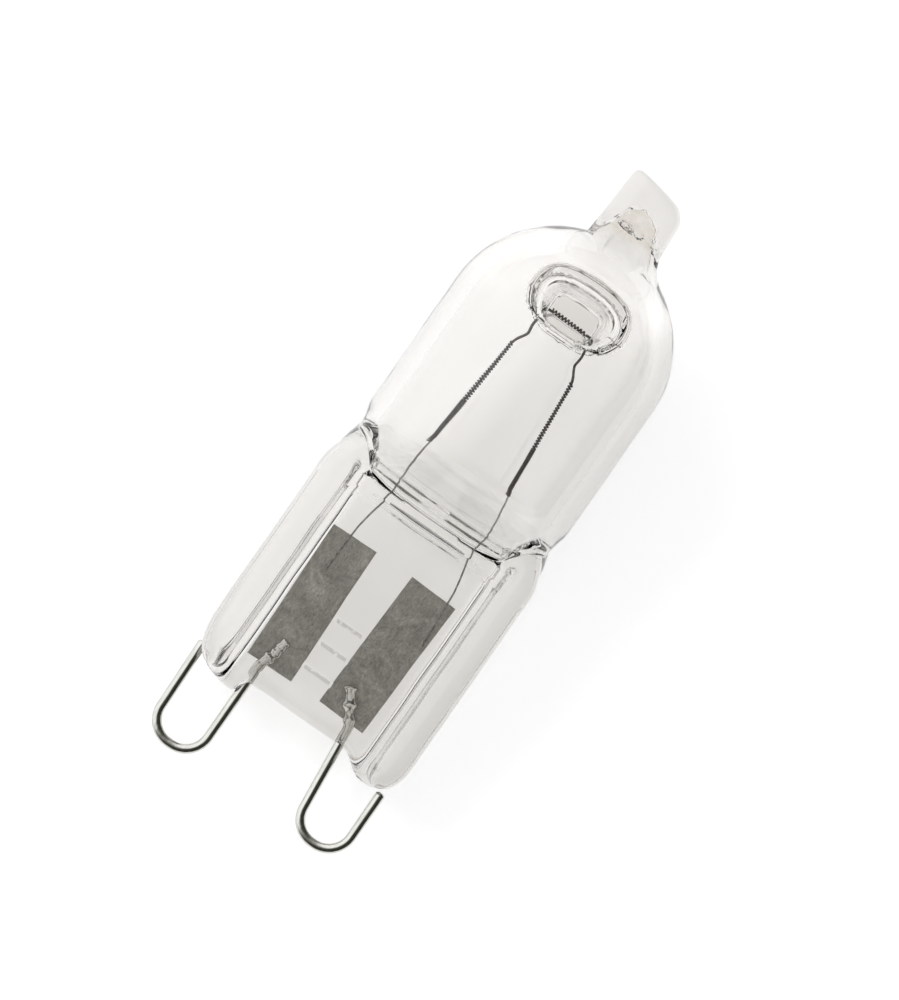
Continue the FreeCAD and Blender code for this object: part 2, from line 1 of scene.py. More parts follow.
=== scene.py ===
import json
import math

import bpy
import numpy as np
from mathutils import Matrix, Vector


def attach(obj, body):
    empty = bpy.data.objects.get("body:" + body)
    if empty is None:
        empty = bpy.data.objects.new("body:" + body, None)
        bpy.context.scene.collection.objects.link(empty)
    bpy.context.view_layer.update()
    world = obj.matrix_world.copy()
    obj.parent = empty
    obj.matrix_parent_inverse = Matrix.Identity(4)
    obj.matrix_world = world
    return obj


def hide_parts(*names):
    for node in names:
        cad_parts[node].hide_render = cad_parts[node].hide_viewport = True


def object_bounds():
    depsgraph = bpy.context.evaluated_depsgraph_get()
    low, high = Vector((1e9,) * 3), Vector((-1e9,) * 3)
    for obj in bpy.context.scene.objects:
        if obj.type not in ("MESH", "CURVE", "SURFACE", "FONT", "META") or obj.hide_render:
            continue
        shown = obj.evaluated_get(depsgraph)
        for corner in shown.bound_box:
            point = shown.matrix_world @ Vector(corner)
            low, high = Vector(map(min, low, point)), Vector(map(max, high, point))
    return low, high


# The looks of a two-pin halogen capsule lamp that lies on its back on a pale floor.
# Pieces are drawn upright, as the lamp's parts are: Z runs from the foot of the pin loops to the
# exhaust tip, X across the flat of the seal, and the front of the seal is at -Y.
# Lengths are in millimetres until place() lays a piece down in the frame. Those of the floor, the
# lights and the camera are in metres.
MM = 0.001

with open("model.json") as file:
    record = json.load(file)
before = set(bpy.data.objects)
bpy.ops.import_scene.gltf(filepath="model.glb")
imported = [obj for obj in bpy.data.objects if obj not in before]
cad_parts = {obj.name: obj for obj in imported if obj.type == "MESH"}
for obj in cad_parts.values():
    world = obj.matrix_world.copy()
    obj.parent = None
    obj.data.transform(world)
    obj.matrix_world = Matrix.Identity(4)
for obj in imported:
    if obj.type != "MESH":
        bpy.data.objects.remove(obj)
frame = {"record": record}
cad_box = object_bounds()

# Quartz bulb and the neck below it
BULB_RADIUS = 6.23
BULB_WALL = 1.0
BULB_START = 21.2
DOME_START = 28.75
NECK_START = 17.6
NECK_WAIST = 19.2
NECK_BASE_HALF_WIDTH = 5.2
NECK_HALF_WIDTH = 5.8
NECK_ROUNDING = 1.5
SEAL_UNEVENNESS = 0.035
UNEVENNESS_LENGTH = 2.8
UNEVENNESS_SEED = 2
WAVES_SUMMED = 7

# Press seal: a web between two ribs
SEAL_HALF_WIDTH = 6.57
SEAL_HALF_DEPTH = 2.7
SEAL_TOP = 19.1
SHOULDER_RADIUS = 2.2
RIB_FOOT = 4.4
FOOT_RADII = (3.0, 2.0)
RIB_EDGE_RADIUS = 0.9
WEB_HALF_DEPTH = 1.2
WEB_HALF_WIDTH = 4.45
WEB_FOOT = 5.25
WEB_FOOT_HALF_WIDTH = 2.9
RECESS_DRAFT = math.radians(20)
RECESS_ROUNDING = 0.6
OUTLINE_ROUNDING = 1.0

# Plain bars pressed into the front of the web
BAR_HEIGHTS = (7.62, 9.08, 10.54)
BAR_MIDDLE = -0.32
BAR_HALF_LENGTH = 0.8
BAR_HALF_WIDTH = 0.1
BAR_STANDOUT = 0.12
BAR_END_FADE = 0.1

# Cavity
CAVITY_RADIUS = BULB_RADIUS - BULB_WALL
THROAT_NARROWING = 0.3
SLOT_HEIGHT = 18.0
SLOT_RIPPLE = 0.5
SLOT_RIPPLE_DEPTH = 0.06
SLOT_RIPPLE_FADE = (18.8, 19.6)
SLOT_BOW = 0.35
SLOT_HALF_WIDTH = 4.15
SLOT_HALF_DEPTH = 0.12
FOLD_RADIUS = 0.12

# Exhaust tip
TIP_ROOT = 33.6
TIP_TOP = 38.92
TIP_ROOT_HALVES = (2.05, 1.75)
TIP_TOP_HALVES = (1.75, 1.35)
TIP_CORNER = 0.9
TIP_SLANT = 0.7
TIP_EDGES = (0.35, 0.75)
TIP_EDGE_SPAN = (-1, 1.5)
TIP_BOW = 0.12
# The corner between tip and dome: its radius, less at the tip's left and more in front and behind
TIP_ROUNDING = 1.0
TIP_SHARPENING = 0.85
TIP_LEFT_SPAN = (0.9, 1.8)
TIP_FILLING = 0.8
TIP_MIDDLE_SPAN = (0.8, 1.8)

# Bore of the exhaust tube
BORE_HALVES = (1.05, 0.7)
BORE_CRUMPLE = 34.9
CRUMPLE_RISE = 0.8
CRUMPLES = (
    # wavelength, depth, seed
    (1.5, 0.45, 5),
    (0.8, 0.16, 11),
)
BORE_END = 37.2
BORE_ROUNDING = 0.6
BORE_FLARE = 2.6
BUBBLE_MIDDLE = (-0.42, -1.1, 35.85)
BUBBLE_HALVES = (0.5, 0.26, 0.3)

# Dimples that carry the fold of the filament
DIMPLE_HALVES = (1.35, 0.92)
MOUTH_HALVES = (3.1, 1.65)
MOUTH_RISE = 0.5
DIMPLE_HEIGHT = 30.36
DIMPLE_LIP = 0.38
DIMPLE_LOW_LIP_SHARE = 0.2
DIMPLE_WALL = 0.65
DIMPLE_HALF_GAP = 0.3
DIMPLE_RIMS = (0.35, 0.5)
DIMPLE_RIM_SPAN = (29.2, 30.8)
DIMPLE_WOBBLE = 0.06
DIMPLE_WOBBLE_LENGTH = 1.7
DIMPLE_WOBBLE_SEED = 8
# The mouths are drawn this far outside the bulb, so that they cut its skin at an angle
MOUTH_SPARE = 1
BRIDGE_HALVES = (1.15, 0.3)
BRIDGE_HEIGHT = 29.6
BRIDGE_ROUNDNESS = 0.95

# Fineness of the quartz mesh, and how often its points are pulled onto the surface
MESH_STEP = 0.165
MESH_MARGIN = 0.4
PULLS = 4
SLOPE_STEP = 0.01
DIMPLE_SLOPE_STEP = 0.03

# Pin loops
PIN_RADIUS = 0.27
LOOP_FOOT = 0.28
LOOP_RADIUS = 1.4
LOOP_BEND_RADIUS = 1.0
LOOP_STEP = 0.06
LOOP_SIDES = 28
CUT_LENGTH = 0.12
WIRE_PLANE = -0.25
WELD_HEIGHT = 8.15
WELD_X = {"left": 2.45, "right": 1.5}
LOOPS = (
    # name, side, x of the outer leg at its free end and its foot, free end, x of the inner leg,
    # bend x, bend height
    ("left", -1, 6.15, 6.02, 5.65, 3.1, 3.1, 6.1),
    ("right", 1, 5.96, 5.98, 4.45, 3.18, 2.6, 6.3),
)

# The welded end of each loop, squashed from a little below its bend upwards
SQUASH_SPAN = (-0.3, 0.9)
KINK_LENGTH = 0.75
KINK_SEED = 3
KINK_SWAY = 0.12
SQUASH_WIDENING = 0.15
SQUASH_LUMP_LENGTH = 0.5
SQUASH_LUMP_SEED = 9
SQUASH_LUMPS = 0.6
SQUASH_FLATNESS = 0.35
SQUASH_KINKS = 0.3

# Filament: each leg's coil from its foot to its top, the hook above it and the coil of the fold
COIL_OUTER = 0.15
STRAND_RADIUS = 0.05
STRAND_SIDES = 6
TURN_POINTS = 14
COIL_FOOT = (2.5, 20.2)
COIL_TOP = (1.88, 27.6)
LEG_PITCHES = ((0.47, 0.108), (1.0, 0.165))
FOLD_LEFT = (-1.12, 30.16)
FOLD_RIGHT = (1.02, 30.1)
FOLD_PITCHES = ((1.0, 0.2),)
HOOK_RADIUS = 0.075
HOOK_SIDES = 8
HOOK_STEP = 0.06
HOOK_CORNERS = ((1.88, 27.55, None), (1.5, 28.45, 0.3), (1.5, 30.1, 0.2), (1.05, 30.1, None))
HOOK_SWAY = 0.03
HOOK_SWAYS = 5

# Inner leads, from the coil's foot down to the foil
LEAD_PLANE = -0.06
LEAD_RADIUS = 0.05
LEAD_SIDES = 10
LEAD_STEP = 0.08
LEAD_BEND_RADIUS = 0.25
LEAD_CUT_LENGTH = 0.04
LEADS = (
    ("left", -1, ((2.425, 21.1), (2.46, 18.9), (2.57, 17.7), (2.96, 15.2), (3.11, 12.3))),
    ("right", 1, ((2.425, 21.1), (2.72, 18.9), (2.62, 17.7), (3.08, 15.2), (3.35, 11.9))),
)

# Foils
FOIL_WIDTH = 2.8
FOIL_LENGTH = 8.07
FOIL_FOOT = 6.5
FOIL_HALF_THICKNESS = 0.02
FOIL_EDGE = 0.005
FOIL_EDGE_SLOPE = 0.04
FOIL_COLUMNS = 44
FOIL_ROWS = 120
FOILS = (
    # name, side, middle of the foot, lean in degrees, seed of its creases
    ("left", -1, 2.62, 1.4, 21),
    ("right", 1, 1.96, 1.9, 34),
)

# Unevenness of the foils: (wavelength, depth) of the waves all over and of the creases at the weld
FOIL_WAVES = (2.4, 0.02)
FOIL_CREASES = (0.8, 0.07)
CREASED_HALVES = (0.9, 1.5)
CREASED_DROP = 0.5

# The ring pressed into each foil by the welding tip
RING_RISE = 0.42
RING_RADIUS = 0.17
RING_HALF_WIDTH = 0.055
RING_DEPTH = 0.06

# Photograph: where the middle of the picture lies on the lamp, and how steeply the lamp rises in it
VIEW_CENTRE = (0.136, 19.0)
VIEW_RISE = math.radians(55.1)
PIXELS_PER_MM = 19.2
PICTURE_HEIGHT = 1000
CAMERA_DISTANCE = 0.42
SENSOR = 36.0

# Where the light comes from: the photograph's upper left, from above
KEY_WAY = (0.16, 0.9, 0.4)

# What gloss mirrors and what glass lets through, from the side away from the light to the light's
MIRRORED = (
    (0.0, (0.03, 0.031, 0.024)),
    (0.58, (0.05, 0.051, 0.04)),
    (0.68, (0.2, 0.2, 0.18)),
    (0.8, (1.4, 1.4, 1.4)),
)
THROUGH = (
    (0.0, (0.48, 0.455, 0.43)),
    (0.35, (0.62, 0.6, 0.58)),
    (0.65, (0.8, 0.8, 0.8)),
    (0.95, (1.02, 1.02, 1.04)),
)
WORLD_LIGHT = (0.48, 0.48, 0.48, 1)
WHITE = (1, 1, 1, 1)
AREA_LIGHTS = (
    # name, place from the lamp's middle, size, watts
    ("key", (0.05, 0.35, 0.3), 0.3, 0.7),
    ("fill", (-0.3, -0.1, 0.4), 0.3, 0.25),
)
FLOOR_HALF_SIZE = 0.075
FLOOR_COLOUR = (0.8, 0.8, 0.8, 1)
FLOOR_GLOW = 0.56

# Body colours of the quartz, from the darker to the lighter of its clouds
CLOUD_SCALE = 0.35
BULB_TINTS = ((0.3, (0.93, 0.912, 0.885)), (0.7, (0.965, 0.95, 0.93)))
SEAL_TINTS = ((0.3, (0.84, 0.827, 0.802)), (0.7, (0.862, 0.85, 0.826)))
TIP_TINTS = ((0.3, (0.77, 0.752, 0.73)), (0.7, (0.81, 0.793, 0.772)))
CAVITY_TINTS = ((0.3, (0.99, 0.99, 0.985)), (0.7, (1.0, 1.0, 1.0)))
BORE_TINTS = ((0.35, (0.86, 0.82, 0.76)), (0.65, (0.98, 0.96, 0.93)))
BORE_TINT_SPAN = (BORE_CRUMPLE - 0.2, BORE_CRUMPLE + 0.6)

# Painted shade in the quartz's colour: darker at the bulb's right side, at its lower left and in the right
# rib. The quartz is also deeper in colour where it was fused
SIDE_SPAN = (3.6, 5.2)
RIGHT_PAINTED_SHADE = (0.73, 0.716, 0.69, 1)
LEFT_PAINTED_SHADE = (0.87, 0.86, 0.84, 1)
LEFT_SHADE_TOP = (30.5, 28.5)
RIB_SPAN = (4.4, 5.4)
RIB_PAINTED_SHADE = (0.78, 0.767, 0.74, 1)
FUSED_TINT = (0.76, 0.735, 0.7, 1)
FUSED_RISE = (1.3, 0.7)
FUSED_REACH = (1.7, 1.1)
FUSED_DEPTH = (2.2, 1.2)
TIP_TINT_RISE = 1.5
BAR_COLOUR = (0.5, 0.49, 0.47, 1)

# Foil colours from its darkest scratches to its brightest
FOIL_COLOURS = (
    (0.36, (0.2, 0.196, 0.174)),
    (0.47, (0.37, 0.362, 0.325)),
    (0.56, (0.56, 0.55, 0.505)),
    (0.66, (0.9, 0.89, 0.84)),
)


def lamp_pose():
    """The lamp's own axes and origin in the frame, from the mounts on its pins and its seal."""
    mounts = {mount["name"]: mount for mount in frame["record"]["mounts"]}
    along = -Vector(mounts["pin_loops"]["axis"]).normalized()
    front = Vector(mounts["seal_front"]["axis"]).normalized()
    across = along.cross(front).normalized()
    back = along.cross(across).normalized()
    axes = np.array([across, back, along])
    pins = np.array(mounts["pin_loops"]["pos_m"])
    origin = pins - axes[1] * WIRE_PLANE * MM
    return axes, origin


LAMP_AXES, LAMP_ORIGIN = lamp_pose()


def place(points):
    """Points of the upright lamp, in millimetres, as points of the frame in metres."""
    return np.asarray(points, float) @ LAMP_AXES * MM + LAMP_ORIGIN


def direction(x, y, z):
    """A direction of the upright lamp as a unit vector of the frame."""
    return Vector(np.array([x, y, z], float) @ LAMP_AXES).normalized()


# Materials


def new_material(name, **settings):
    """A material with one Principled shader, its plain settings on the shader's own sockets."""
    material = bpy.data.materials.new(name)
    material.use_nodes = True
    shader = material.node_tree.nodes["Principled BSDF"]
    for socket, value in settings.items():
        shader.inputs[socket.replace("_", " ")].default_value = value
    return material, material.node_tree, shader


def lamp_coordinates(tree, stretch=(1, 1, 1)):
    """Object coordinates turned into the upright lamp's axes, in millimetres, then stretched."""
    coordinates = tree.nodes.new("ShaderNodeTexCoord").outputs["Object"]
    shifted = tree.nodes.new("ShaderNodeVectorMath")
    shifted.operation = "SUBTRACT"
    tree.links.new(coordinates, shifted.inputs[0])
    shifted.inputs[1].default_value = LAMP_ORIGIN
    parts = []
    for axis in LAMP_AXES:
        dot = tree.nodes.new("ShaderNodeVectorMath")
        dot.operation = "DOT_PRODUCT"
        tree.links.new(shifted.outputs["Vector"], dot.inputs[0])
        dot.inputs[1].default_value = axis
        parts.append(dot.outputs["Value"])
    joined = tree.nodes.new("ShaderNodeCombineXYZ")
    for socket, part in zip(joined.inputs, parts):
        tree.links.new(part, socket)
    scaled = tree.nodes.new("ShaderNodeVectorMath")
    scaled.operation = "MULTIPLY"
    tree.links.new(joined.outputs[0], scaled.inputs[0])
    scaled.inputs[1].default_value = [factor / MM for factor in stretch]
    return scaled.outputs[0]


def add_noise(tree, vector, scale, detail=3.0, roughness=0.5, distortion=0.0):
    """A noise texture on the given coordinates, as a value from about 0 to 1."""
    noise = tree.nodes.new("ShaderNodeTexNoise")
    tree.links.new(vector, noise.inputs["Vector"])
    noise.inputs["Scale"].default_value = scale
    noise.inputs["Detail"].default_value = detail
    noise.inputs["Roughness"].default_value = roughness
    noise.inputs["Distortion"].default_value = distortion
    return noise.outputs["Fac"]


def add_ramp(tree, value, stops):
    """A colour ramp with stops of (place, colour)."""
    ramp = tree.nodes.new("ShaderNodeValToRGB")
    tree.links.new(value, ramp.inputs["Fac"])
    elements = ramp.color_ramp.elements
    while len(elements) < len(stops):
        elements.new(0.5)
    for element, (place_on_ramp, colour) in zip(elements, stops):
        element.position = place_on_ramp
        element.color = (*colour, 1)
    return ramp.outputs["Color"]


def add_bump(tree, shader, height, strength, distance):
    """Feeds a height into the shader's normal."""
    bump = tree.nodes.new("ShaderNodeBump")
    bump.inputs["Strength"].default_value = strength
    bump.inputs["Distance"].default_value = distance
    tree.links.new(height, bump.inputs["Height"])
    tree.links.new(bump.outputs["Normal"], shader.inputs["Normal"])


def add_math(tree, operation, *values):
    """A math node on numbers or other nodes' values."""
    node = tree.nodes.new("ShaderNodeMath")
    node.operation = operation
    for socket, value in zip(node.inputs, values):
        if isinstance(value, (int, float)):
            socket.default_value = value
        else:
            tree.links.new(value, socket)
    return node.outputs[0]


def add_fade(tree, value, start, end):
    """0 where the value is at start and 1 where it is at end, eased between."""
    fade = tree.nodes.new("ShaderNodeMapRange")
    fade.interpolation_type = "SMOOTHSTEP"
    fade.inputs["From Min"].default_value = start
    fade.inputs["From Max"].default_value = end
    tree.links.new(value, fade.inputs["Value"])
    return fade.outputs[0]


def add_split(tree, vector):
    """A vector's parts: across the lamp, into its depth and up along it."""
    split = tree.nodes.new("ShaderNodeSeparateXYZ")
    tree.links.new(vector, split.inputs[0])
    return split.outputs


def clear_quartz(name):
    """The skin of the cavity: quartz without a body colour, but stained where the bore was melted."""
    material, tree, shader = new_material(name, Transmission_Weight=1.0, IOR=1.46, Roughness=0.0)
    vector = lamp_coordinates(tree)
    tint = add_ramp(tree, add_noise(tree, vector, CLOUD_SCALE, 2.0), CAVITY_TINTS)
    stain = add_ramp(tree, add_noise(tree, vector, 1.6, 4.0), BORE_TINTS)
    up = add_split(tree, vector)[2]
    tint = mix_colours(tree, add_fade(tree, up, *BORE_TINT_SPAN), tint, stain)
    tree.links.new(tint, shader.inputs["Base Color"])
    add_ripple(tree, shader)
    return material


def add_ripple(tree, shader):
    """The slight waviness of quartz that was worked hot."""
    ripple = add_noise(tree, lamp_coordinates(tree, (1, 1, 0.4)), 0.9, 1.0)
    add_bump(tree, shader, ripple, 0.05, 0.0002)


def fused_spot(tree, across, deep, up):
    """1 where the two dimples were fused in the middle of the bulb, and 0 away from there."""
    reach = add_fade(tree, add_math(tree, "ABSOLUTE", across), *FUSED_REACH)
    depth = add_fade(tree, add_math(tree, "ABSOLUTE", deep), *FUSED_DEPTH)
    beside = add_math(tree, "ABSOLUTE", add_math(tree, "SUBTRACT", up, DIMPLE_HEIGHT))
    rise = add_fade(tree, beside, *FUSED_RISE)
    return add_math(tree, "MULTIPLY", add_math(tree, "MULTIPLY", rise, reach), depth)


def worn_bars(tree, vector, across, deep, up):
    """1 on the plain bars between the foils, with gaps where they are worn."""
    rows = 0.0
    for height in BAR_HEIGHTS:
        rows = add_math(tree, "MAXIMUM", rows, add_math(tree, "COMPARE", up, height, BAR_HALF_WIDTH))
    bars = add_math(tree, "MULTIPLY", rows, add_math(tree, "COMPARE", across, BAR_MIDDLE, BAR_HALF_LENGTH))
    bars = add_math(tree, "MULTIPLY", bars, add_math(tree, "LESS_THAN", deep, -WEB_HALF_DEPTH / 2))
    wear = add_fade(tree, add_noise(tree, vector, 4.0, 3.0), 0.36, 0.5)
    return add_math(tree, "MULTIPLY", bars, wear)


def quartz_material(name):
    """Fused quartz: faint in colour in the thin bulb and deeper in the seal and the tip, with painted shade
    that darkens the bulb's sides and the right rib.
    """
    material, tree, shader = new_material(name, Transmission_Weight=1.0, IOR=1.46, Roughness=0.0)
    vector = lamp_coordinates(tree)
    across, deep, up = add_split(tree, vector)
    cloud = add_noise(tree, vector, CLOUD_SCALE, 2.0)
    bulb = add_ramp(tree, cloud, BULB_TINTS)
    # Painted shade: the bulb darker towards its right side
    bulb = mix_colours(tree, add_fade(tree, across, *SIDE_SPAN), bulb, RIGHT_PAINTED_SHADE)
    # Painted shade: the bulb darker towards its lower left
    left = add_fade(tree, across, -SIDE_SPAN[0], -SIDE_SPAN[1])
    left = add_math(tree, "MULTIPLY", left, add_fade(tree, up, *LEFT_SHADE_TOP))
    bulb = mix_colours(tree, left, bulb, LEFT_PAINTED_SHADE)
    bulb = mix_colours(tree, fused_spot(tree, across, deep, up), bulb, FUSED_TINT)
    seal_tint_and_shade = add_ramp(tree, cloud, SEAL_TINTS)
    # Painted shade: the right rib darker
    seal_tint_and_shade = mix_colours(tree, add_fade(tree, across, *RIB_SPAN), seal_tint_and_shade, RIB_PAINTED_SHADE)
    tint = mix_colours(tree, add_fade(tree, up, NECK_WAIST, BULB_START), seal_tint_and_shade, bulb)
    in_tip = add_fade(tree, up, TIP_ROOT, TIP_ROOT + TIP_TINT_RISE)
    tint = mix_colours(tree, in_tip, tint, add_ramp(tree, cloud, TIP_TINTS))
    tint = mix_colours(tree, worn_bars(tree, vector, across, deep, up), tint, BAR_COLOUR)
    tree.links.new(tint, shader.inputs["Base Color"])
    add_ripple(tree, shader)
    return material


def steel_material():
    """Bright drawn wire."""
    material, tree, shader = new_material("drawn_wire", Metallic=1.0)
    vector = lamp_coordinates(tree, (1, 1, 0.15))
    streaks = add_noise(tree, vector, 9.0, 4.0)
    colour = add_ramp(tree, streaks, [(0.3, (0.54, 0.54, 0.505)), (0.7, (0.67, 0.67, 0.635))])
    tree.links.new(colour, shader.inputs["Base Color"])
    rough = tree.nodes.new("ShaderNodeMapRange")
    rough.inputs["To Min"].default_value = 0.12
    rough.inputs["To Max"].default_value = 0.24
    tree.links.new(streaks, rough.inputs["Value"])
    tree.links.new(rough.outputs[0], shader.inputs["Roughness"])
    add_bump(tree, shader, streaks, 0.12, 0.00003)
    return material


def foil_material():
    """Dull rolled foil with fine scratches along it and cloudy stains."""
    material, tree, shader = new_material("rolled_foil", Metallic=0.55, Roughness=0.5)
    streaks = add_noise(tree, lamp_coordinates(tree, (1, 1, 0.3)), 14.0, 8.0, 0.75, 1.5)
    spots = add_noise(tree, lamp_coordinates(tree), 0.8, 8.0, 0.8, 1.5)
    mix = tree.nodes.new("ShaderNodeMix")
    mix.inputs["Factor"].default_value = 0.45
    tree.links.new(streaks, mix.inputs["A"])
    tree.links.new(spots, mix.inputs["B"])
    colour = add_ramp(tree, mix.outputs["Result"], FOIL_COLOURS)
    tree.links.new(colour, shader.inputs["Base Color"])
    add_bump(tree, shader, mix.outputs["Result"], 0.5, 0.00005)
    return material


def wire_material(name, dark, light, roughness):
    """Fine grey wire with a mottled skin."""
    material, tree, shader = new_material(name, Metallic=1.0, Roughness=roughness)
    mottle = add_noise(tree, lamp_coordinates(tree), 6.0, 3.0)
    colour = add_ramp(tree, mottle, [(0.35, dark), (0.65, light)])
    tree.links.new(colour, shader.inputs["Base Color"])
    add_bump(tree, shader, mottle, 0.2, 0.00002)
    return material


# Meshes


def add_piece(name, points, faces, material, slot, *nodes):
    """A smooth piece of the lamp that stands for the given CAD nodes."""
    mesh = bpy.data.meshes.new(name)
    mesh.from_pydata(place(points).tolist(), [], [tuple(face) for face in faces])
    mesh.update()
    mesh.materials.append(material)
    mesh.shade_smooth()
    piece = bpy.data.objects.new(name, mesh)
    bpy.context.scene.collection.objects.link(piece)
    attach(piece, "root")
    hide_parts(*nodes)
    return piece


def join_parts(parts):
    """Several (points, faces) as one."""
    points = []
    faces = []
    start = 0
    for some_points, some_faces in parts:
        points.append(some_points)
        faces.extend(tuple(index + start for index in face) for face in some_faces)
        start += len(some_points)
    return np.concatenate(points), faces


def tube(path, radius, sides, flatness=None):
    """A tube along a path of points, with rounded-off ends.

    radius is one number or one for each point. flatness, if given, is how much the tube is
    squeezed along Y at each point, where 1 is round.
    """
    path = np.asarray(path, float)
    count = len(path)
    radius = np.broadcast_to(np.asarray(radius, float), count)
    squeeze = np.ones(count) if flatness is None else np.asarray(flatness, float)
    ways = np.gradient(path, axis=0)
    ways /= np.linalg.norm(ways, axis=1)[:, None]
    side = np.cross(ways[0], (0, 1, 0))
    if np.linalg.norm(side) < 0.1:
        side = np.cross(ways[0], (1, 0, 0))
    angles = np.arange(sides) * 2 * math.pi / sides
    rings = []
    for point, way, reach, flat in zip(path, ways, radius, squeeze):
        side = side - way * side.dot(way)
        side /= np.linalg.norm(side)
        other = np.cross(way, side)
        ring = np.outer(np.cos(angles), side) + np.outer(np.sin(angles), other)
        ring[:, 1] *= flat
        rings.append(point + ring * reach)
    points = np.concatenate(rings)
    faces = []
    for ring in range(count - 1):
        for corner in range(sides):
            here = ring * sides + corner
            beside = ring * sides + (corner + 1) % sides
            faces.append((here, beside, beside + sides, here + sides))
    faces.append(tuple(range(sides))[::-1])
    faces.append(tuple((count - 1) * sides + corner for corner in range(sides)))
    return points, faces


def rounded_path(corners, step):
    """Points in the X-Z plane along straight runs whose corners, (x, z, radius), are rounded."""
    points = [np.array(corner[:2], float) for corner in corners]
    line = [points[0]]
    for number in range(1, len(corners) - 1):
        before = points[number] - points[number - 1]
        after = points[number + 1] - points[number]
        before /= np.linalg.norm(before)
        after /= np.linalg.norm(after)
        turn = math.acos(max(-1.0, min(1.0, before.dot(after))))
        radius = corners[number][2]
        cut = radius * math.tan(turn / 2)
        start = points[number] - before * cut
        count = max(2, int(math.ceil(radius * turn / step)))
        inward = after - before * before.dot(after)
        inward /= np.linalg.norm(inward)
        for share in np.linspace(0, 1, count + 1):
            angle = turn * share
            line.append(start + before * radius * math.sin(angle) + inward * radius * (1 - math.cos(angle)))
    line.append(points[-1])
    spaced = [line[0]]
    for start, end in zip(line, line[1:]):
        count = max(1, int(np.linalg.norm(end - start) / step))
        spaced.extend(start + (end - start) * share / count for share in range(1, count + 1))
    return np.array(spaced)


def in_plane(line, plane):
    """Points of the X-Z plane moved to the given Y."""
    return np.column_stack([line[:, 0], np.full(len(line), plane), line[:, 1]])


def rounded_ends(path, radius, length):
    """Radii along a path that shrink at both ends, so that a cut wire's rim is broken."""
    steps = np.concatenate([[0], np.cumsum(np.linalg.norm(np.diff(path, axis=0), axis=1))])
    from_end = np.minimum(steps, steps[-1] - steps)
    share = np.clip(1 - from_end / length, 0, 1)
    return radius * np.sqrt(1 - 0.75 * share**2)


# Quartz as a field: negative inside the quartz, in millimetres from its surface


def rounded_max(first, second, radius):
    """Where two solids overlap, with the edge between them rounded."""
    near = np.hypot(np.maximum(first + radius, 0), np.maximum(second + radius, 0))
    return np.minimum(np.maximum(first, second), -radius) + near


def rounded_min(first, second, radius):
    """Two solids joined, with the corner between them filled."""
    return -rounded_max(-first, -second, radius)


def level_ellipse(x, y, half_width, half_depth):
    """Roughly how far a point is outside an ellipse about the lamp's axis."""
    reach = np.hypot(x / half_width, y / half_depth)
    slope = np.hypot(x / half_width**2, y / half_depth**2)
    return (reach - 1) * reach / np.maximum(slope, 1e-6)


def rise(z, start, end):
    """0 at start and 1 at end, fast at first and then ever more slowly."""
    return np.sin(np.clip((z - start) / (end - start), 0, 1) * math.pi / 2)


def blend(first, second, share):
    """The first value where the share is 0 and the second where it is 1."""
    return first + (second - first) * share


def ease(z, start, end):
    """0 at start and 1 at end, slow at both."""
    share = np.clip((z - start) / (end - start), 0, 1)
    return share * share * (3 - 2 * share)


def waves(x, y, z, length, seed):
    """Smooth unevenness of about one wavelength, from -1 to 1."""
    random = np.random.default_rng(seed)
    total = np.zeros(np.broadcast(x, y, z).shape)
    for _ in range(WAVES_SUMMED):
        way = random.normal(size=3)
        way *= 2 * math.pi / length / np.linalg.norm(way) * random.uniform(0.7, 1.4)
        total += np.sin(way[0] * x + way[1] * y + way[2] * z + random.uniform(0, 2 * math.pi))
    return total / WAVES_SUMMED


def round_body(x, y, z, radius):
    """The turned bulb or cavity with its domed end."""
    return np.hypot(np.hypot(x, y), np.maximum(z - DOME_START, 0)) - radius


def neck_depth(z):
    """Half the depth of the neck."""
    return blend(WEB_HALF_DEPTH, BULB_RADIUS, rise(z, NECK_START, BULB_START))


def throat_depth(z):
    """Half the depth of the cavity, one wall inside the neck and down to the slot."""
    heights = np.linspace(NECK_START, BULB_START, 200)
    depths = neck_depth(heights)
    leans = np.arctan(np.gradient(depths, heights))
    inner_heights = np.concatenate([[SLOT_HEIGHT], heights + BULB_WALL * np.sin(leans)])
    inner_depths = np.concatenate([[SLOT_HALF_DEPTH], depths - BULB_WALL * np.cos(leans)])
    ripples = np.sin((z - SLOT_HEIGHT) * 2 * math.pi / SLOT_RIPPLE) * (1 - ease(z, *SLOT_RIPPLE_FADE))
    return np.interp(z, inner_heights, inner_depths) + SLOT_RIPPLE_DEPTH * ripples


def throat_width(z):
    """Half the width of the cavity between the slot and the bulb."""
    waist = CAVITY_RADIUS - THROAT_NARROWING
    low = blend(SLOT_HALF_WIDTH, waist, ease(z, SLOT_HEIGHT, NECK_WAIST))
    return low + THROAT_NARROWING * ease(z, NECK_WAIST, BULB_START)


def bulb_and_neck(x, y, z):
    """The bulb, pressed flat towards the seal."""
    half_depth = neck_depth(z)
    half_width = blend(NECK_BASE_HALF_WIDTH, NECK_HALF_WIDTH, ease(z, NECK_START, NECK_WAIST))
    half_width = half_width + (BULB_RADIUS - NECK_HALF_WIDTH) * ease(z, NECK_WAIST, BULB_START)
    level = level_ellipse(x, y, half_width, half_depth)
    domed = np.where(z > DOME_START, round_body(x, y, z, BULB_RADIUS), level)
    return np.maximum(domed, NECK_START - z)


